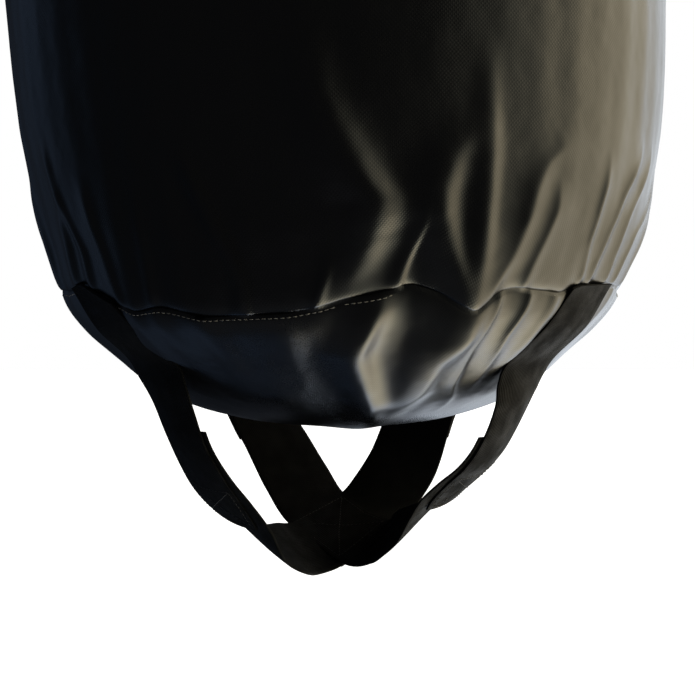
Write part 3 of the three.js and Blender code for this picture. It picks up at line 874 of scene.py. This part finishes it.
def cross_stitching(build, middle, normal, first, last, face):
    """Stitches round a lap and crosswise over it, between two rows of a ribbon; face is 1 or -1."""
    t = np.linspace(0, 1, 40)
    inset = 0.86

    def sew(row, col):
        ns = face * pick(normal, row, col)
        build.stitches(pick(middle, row, col) + ns * (WEB / 2), ns, pitch=4.2, length=3.2)

    for start, end in ((-inset, -inset), (inset, inset), (-inset, inset), (inset, -inset)):
        sew(first + (last - first) * t, start + (end - start) * t)
    for row in (first, last):
        sew(np.full(40, float(row)), -inset + 2 * inset * t)


def leg(place):
    middle, radius = leg_surface(place)
    keep = radius >= LEG_TIP[place]
    build = Build()
    middle, normal = ribbon(build, middle[keep][::-1], WEB_WIDTH)
    lap_end = min(LAP_START[place] - 4, 168)
    last = int(np.argmin(np.abs(radius[keep][::-1] - lap_end)))
    cross_stitching(build, middle, normal, 1, max(last, 4), 1)
    return build.make("harness_leg_webbing_" + place, STRAP, THREAD_DARK)


def cross_strap(name, first, second, lift):
    """A strap from one leg's lap over the middle to the opposite one's, lifted where it crosses the other."""
    halves = []
    for place in (first, second):
        middle, radius = leg_surface(place, LAP_ASIDE[place])
        halves.append(middle[radius <= LAP_START[place]])
    a, b = halves
    line = np.concatenate([a[:-1], b[::-1][:, ::-1]])
    step = lift * (1 - smooth((np.linalg.norm(line[:, MID, :2], axis=-1) - 48) / 40))
    line = line + step[:, None, None] * UP
    build = Build()
    middle, normal = ribbon(build, line[::-1], WEB_WIDTH, shift=-(WEB + 0.7))
    if lift:
        inside = np.flatnonzero(np.linalg.norm(middle[:, MID, :2], axis=-1) < 34)
        cross_stitching(build, middle, normal, inside[0], inside[-1], -1)
    return build.make(name, STRAP, THREAD_DARK)


PATCH_SIZE = 71.0
PATCH_SLOPE = 0.4


def cross_patch():
    middle_z = (low("cross_patch") + high("cross_patch")) / 2
    a = radians(45)
    right = np.array([cos(a), sin(a), PATCH_SLOPE * sin(a)])
    ahead = np.array([sin(a), -cos(a), -PATCH_SLOPE * cos(a)])
    t = np.linspace(-1, 1, 25) * PATCH_SIZE / 2
    offset = EDGE_AT * PATCH_SIZE / 2
    grid = t[:, None, None] * -ahead + offset[None, :, None] * right + [0, 0, middle_z]
    build = Build()
    middle, normal = ribbon(build, grid, PATCH_SIZE)
    below = -1 if normal[len(t) // 2, MID, 2] > 0 else 1
    cross_stitching(build, middle, normal, 2, 22, below)
    return build.make("cross_patch_webbing", STRAP, THREAD_DARK)


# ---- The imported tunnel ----

WIRE_RADIUS = 297
TURNS = 20
WIRE = 4
SLEEVE_SIDES = 8
SLEEVE_FLATTENED = 0.3
CUFF_RADIUS = 294
FOLD_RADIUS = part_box("tunnel_skin")[1].x / MM - 70
WIRE_FIRST, WIRE_LAST = PACK_LOW + CUFF + WIRE, PACK_HIGH - CUFF - WIRE


def tunnel_skin():
    """One skin pleated along the wire, in and back between two turns, with its ends in the cuffs."""
    pitch = (WIRE_LAST - WIRE_FIRST) / TURNS
    turned = np.linspace(0, 360, (120) + 1)[None]
    pleat = [(0, 0), (0.1, 0.08), (0.5, 0.3), (0.9, 0.42), (1, 0.5), (0.9, 0.58), (0.5, 0.7), (0.1, 0.92)]
    stations = [(u, k + v) for k in range(TURNS - 1) for u, v in pleat] + [(0, TURNS - 1)]
    u, v = np.array(stations).T[..., None]
    along = v + turned / 360
    slack = 0.97 + 0.03 * np.sin(2 * pi * 9.38 * along)
    rim = WIRE_RADIUS - 1
    end = np.full_like(turned, CUFF_RADIUS)
    radius = np.concatenate([end, rim - (rim - FOLD_RADIUS - 1) * u * slack, end])
    ends_z = 0 * end + PACK_LOW + CUFF - 2, 0 * end + PACK_HIGH - CUFF + 2
    z = np.concatenate([ends_z[0], WIRE_FIRST + pitch * along, ends_z[1]])
    rise, spread = np.full((len(z), 1), 0.35), np.zeros((len(z), 1))
    rise[[0, -1]] = 0
    spread[0], spread[-1] = 0.35, -0.35
    upper, lower = (polar(90 + turned, radius + side * spread, z + side * rise) for side in (1, -1))
    flat_v = np.concatenate([[-0.1], v[:, 0], [TURNS - 0.9]]) * 150
    uv = pairs(turned * 4.7, flat_v[:, None])
    build = Build()
    build.shell(lower[::-1], upper[::-1], uv[::-1])
    return build.make("tunnel_skin_pleats", TUNNEL, sharp=80)


def wire_helix():
    """The spring wire in its sewn sleeve, flattened a little in height."""
    t = np.linspace(0, 1, TURNS * 90 + 1)
    line = polar(90 + 360 * TURNS * t, WIRE_RADIUS, WIRE_FIRST + (WIRE_LAST - WIRE_FIRST) * t)
    build = Build()
    tube(build, line, WIRE / 2, SLEEVE_SIDES)
    heights = build.points[-1][:, 2]
    heights += (np.repeat(line[:, 2], SLEEVE_SIDES) - heights) * SLEEVE_FLATTENED
    return build.make("tunnel_wire_sleeve", SLEEVE)


def end_cuff(name, end_z, inwards):
    """A strip folded round the end hoop; its section is (radius, distance from the tunnel's end) points."""
    phi = np.linspace(0, 360, 240, endpoint=False)
    outline = np.array([(298.5, CUFF), (298.5, 1.4), (297.9, 0.4), (297.1, 0), (290.9, 0), (290, 0.5),
                        (289.5, 1.4), (289.5, CUFF), (290.7, CUFF), (290.7, 1.6), (291.1, 1.2), (296.9, 1.2),
                        (297.3, 1.6), (297.3, CUFF)])
    wave = 0.15 * np.sin(np.radians(phi) * 17)
    grid = polar(phi[None], outline[:, :1] + wave, end_z + inwards * outline[:, 1:] + 0 * phi[None])
    build = Build()
    build.ring(grid if inwards < 0 else grid[::-1])
    return build.make(name, TUNNEL)


def end_hoop(name, z):
    build = Build()
    tube(build, polar(np.linspace(0, 360, 180, endpoint=False), CUFF_RADIUS, z), 2.5, 10, closed=True)
    return build.make(name, SPRING)


# ---- Assembly ----


def face_out(piece):
    """Turns every closed island's faces outwards."""
    mesh = bmesh.new()
    mesh.from_mesh(piece.data)
    bmesh.ops.recalc_face_normals(mesh, faces=mesh.faces)
    mesh.to_mesh(piece.data)
    mesh.free()
    piece.data.set_sharp_from_angle(angle=radians(50))


def fit(piece, body, slot, *nodes):
    face_out(piece)
    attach(piece, body)
    if nodes:
        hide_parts(*nodes)
    return piece


body = fit(body_panel(), "sack", "sack_fabric", "sack_body")
base = fit(base_panel(), "sack", "sack_fabric", "base_dome")
fit(seam_binding(), "sack", "seam_tape", "base_seam_binding")
fit(side_strip(), "sack", "sack_fabric", "side_seam_strip")
mouth = fit(hem(), "sack", "sack_fabric", "mouth_hem")
fit(hem_stitching(), "sack", "sack_fabric")
for number in range(1, 9):
    fit(eyelet(number), "sack", "eyelet_metal", f"eyelet_{number}")
for place in QUARTERS:
    fit(tab(place), "sack", "webbing", "hanging_tab_" + place)
    fit(d_ring(place), "ring_" + place, "ring_steel", "d_ring_" + place)


def fit_harness(piece, node):
    face_out(piece)
    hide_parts(node)
    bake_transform(piece)


for place in QUARTERS:
    fit_harness(leg(place), "harness_leg_" + place)
lower_strap = cross_strap("cross_strap_webbing_lower", "front_left", "back_right", 0.0)
fit_harness(lower_strap, "cross_strap_lower")
upper_strap = cross_strap("cross_strap_webbing_upper", "front_right", "back_left", WEB + 0.6)
fit_harness(upper_strap, "cross_strap_upper")
fit(cross_patch(), "harness_centre", "webbing", "cross_patch")

skin, wire = tunnel_skin(), wire_helix()
for piece, node in ((skin, "tunnel_skin"), (wire, "tunnel_wire_helix")):
    face_out(piece)
    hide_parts(node)
    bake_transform(piece)
for level, end_z, inwards in (("lower", PACK_LOW, 1), ("upper", PACK_HIGH, -1)):
    cuff = end_cuff("tunnel_cuff_" + level, end_z, inwards)
    fit(cuff, "tunnel_" + level, "tunnel_fabric", f"tunnel_{level}_cuff")
    hoop = end_hoop("tunnel_hoop_" + level, end_z + inwards * CUFF / 2)
    fit(hoop, "tunnel_" + level, "spring_wire", f"tunnel_{level}_hoop")

# ---- Floor, light and camera ----

FLOOR_Z = -1600.0
LIGHT_STRENGTH = 6.2

# The photograph's view, in metres and degrees, as a fit found it: in front of the axis, a little above the
# seam, looking slightly down and to the right.
CAMERA_AWAY, CAMERA_RISE = 1.0246, 0.0286
LOOK_DOWN, LOOK_RIGHT = 4.815, 0.358
LENS = 53.55


def floor():
    build = Build()
    x = np.linspace(-6000, 6000, 3)
    grid = np.stack(np.broadcast_arrays(x[None], x[:, None] + 2000, FLOOR_Z), -1)
    build.quads(build.put(grid))
    pale = material("pale_floor", (0.93, 0.93, 0.93), 0.9, Emission_Strength=1.0)
    pale.node_tree.nodes["Principled BSDF"].inputs["Emission Color"].default_value = (1, 1, 1, 1)
    made = build.make("floor", pale)
    made.visible_glossy = made.visible_diffuse = False


def fill_ramp(node, stops):
    """Gives a colour ramp its (place from 0 to 1, colour) stops."""
    elements = node.color_ramp.elements
    while len(elements) < len(stops):
        elements.new(0.5)
    for element, (place, colour) in zip(elements, stops):
        element.position = place
        element.color = (*colour, 1)


def studio():
    """White to the camera; to the object, soft light panels round it by compass direction."""
    world = bpy.data.worlds.new("studio")
    bpy.context.scene.world = world
    world.use_nodes = True
    tree = world.node_tree
    tree.nodes.clear()
    new, link = tree.nodes.new, tree.links.new
    coords, split = new("ShaderNodeTexCoord"), new("ShaderNodeSeparateXYZ")
    link(coords.outputs["Generated"], split.inputs[0])
    angle, back = new("ShaderNodeMath"), new("ShaderNodeMath")
    back.operation, back.inputs[1].default_value = "MULTIPLY", -1.0
    link(split.outputs["Y"], back.inputs[0])
    angle.operation = "ARCTAN2"
    link(split.outputs["X"], angle.inputs[0])
    link(back.outputs[0], angle.inputs[1])
    turn = new("ShaderNodeMapRange")
    turn.inputs["From Min"].default_value, turn.inputs["From Max"].default_value = -pi, pi
    link(angle.outputs[0], turn.inputs["Value"])
    ramp = new("ShaderNodeValToRGB")
    link(turn.outputs[0], ramp.inputs[0])
    stops = [(-180, (0.03, 0.033, 0.04)), (-168, (0.006, 0.007, 0.009)), (-140, (0.008, 0.01, 0.014)),
             (-124, (0.028, 0.041, 0.066)), (-110, (0.011, 0.015, 0.022)), (-95, (0.009, 0.011, 0.014)),
             (-60, (0.019, 0.0195, 0.021)), (-20, (0.02, 0.02, 0.021)), (10, (0.017, 0.017, 0.017)),
             (32, (0.02, 0.02, 0.02)), (42, (0.055, 0.055, 0.047)), (55, (0.2, 0.2, 0.16)),
             (70, (0.4, 0.38, 0.29)), (82, (0.8, 0.71, 0.49)), (92, (1.0, 0.86, 0.58)),
             (118, (0.95, 0.85, 0.63)), (134, (0.6, 0.62, 0.64)), (160, (0.6, 0.65, 0.71)),
             (173, (0.2, 0.23, 0.27))]
    fill_ramp(ramp, [((degrees + 180) / 360, colour) for degrees, colour in stops])
    rise = new("ShaderNodeValToRGB")
    height = new("ShaderNodeMapRange")
    height.inputs["From Min"].default_value, height.inputs["From Max"].default_value = -1.0, 1.0
    link(split.outputs["Z"], height.inputs["Value"])
    link(height.outputs[0], rise.inputs[0])
    levels = [(-1.0, (0.6, 0.62, 0.66)), (-0.94, (0.88, 0.91, 0.97)), (-0.8, (0.95, 0.98, 1.0)),
              (-0.68, (0.8, 0.8, 0.82)), (-0.54, (0.42, 0.42, 0.42)), (0.4, (0.39, 0.39, 0.39)),
              (0.75, (0.25, 0.25, 0.26)), (1.0, (0.17, 0.17, 0.18))]
    fill_ramp(rise, [((level + 1) / 2, colour) for level, colour in levels])
    mix = new("ShaderNodeMix")
    mix.data_type, mix.blend_type = "RGBA", "MULTIPLY"
    mix.inputs[0].default_value = 1.0
    link(ramp.outputs[0], mix.inputs[6])
    link(rise.outputs[0], mix.inputs[7])
    light, white = new("ShaderNodeBackground"), new("ShaderNodeBackground")
    link(mix.outputs[2], light.inputs[0])
    light.inputs[1].default_value = LIGHT_STRENGTH
    white.inputs[0].default_value = (1, 1, 1, 1)
    path, choose, out = new("ShaderNodeLightPath"), new("ShaderNodeMixShader"), new("ShaderNodeOutputWorld")
    link(path.outputs["Is Camera Ray"], choose.inputs[0])
    link(light.outputs[0], choose.inputs[1])
    link(white.outputs[0], choose.inputs[2])
    link(choose.outputs[0], out.inputs[0])


def camera():
    data = bpy.data.cameras.new("camera")
    data.lens, data.sensor_width = LENS, 36
    data.clip_start, data.clip_end = 0.05, 50
    made = bpy.data.objects.new("camera", data)
    made.location = (0, -CAMERA_AWAY, SEAM_Z * MM + CAMERA_RISE)
    made.rotation_euler = (radians(90 - LOOK_DOWN), 0, radians(-LOOK_RIGHT))
    bpy.context.scene.collection.objects.link(made)
    bpy.context.scene.camera = made


floor()
studio()
camera()
bpy.context.scene.view_settings.view_transform = "Standard"
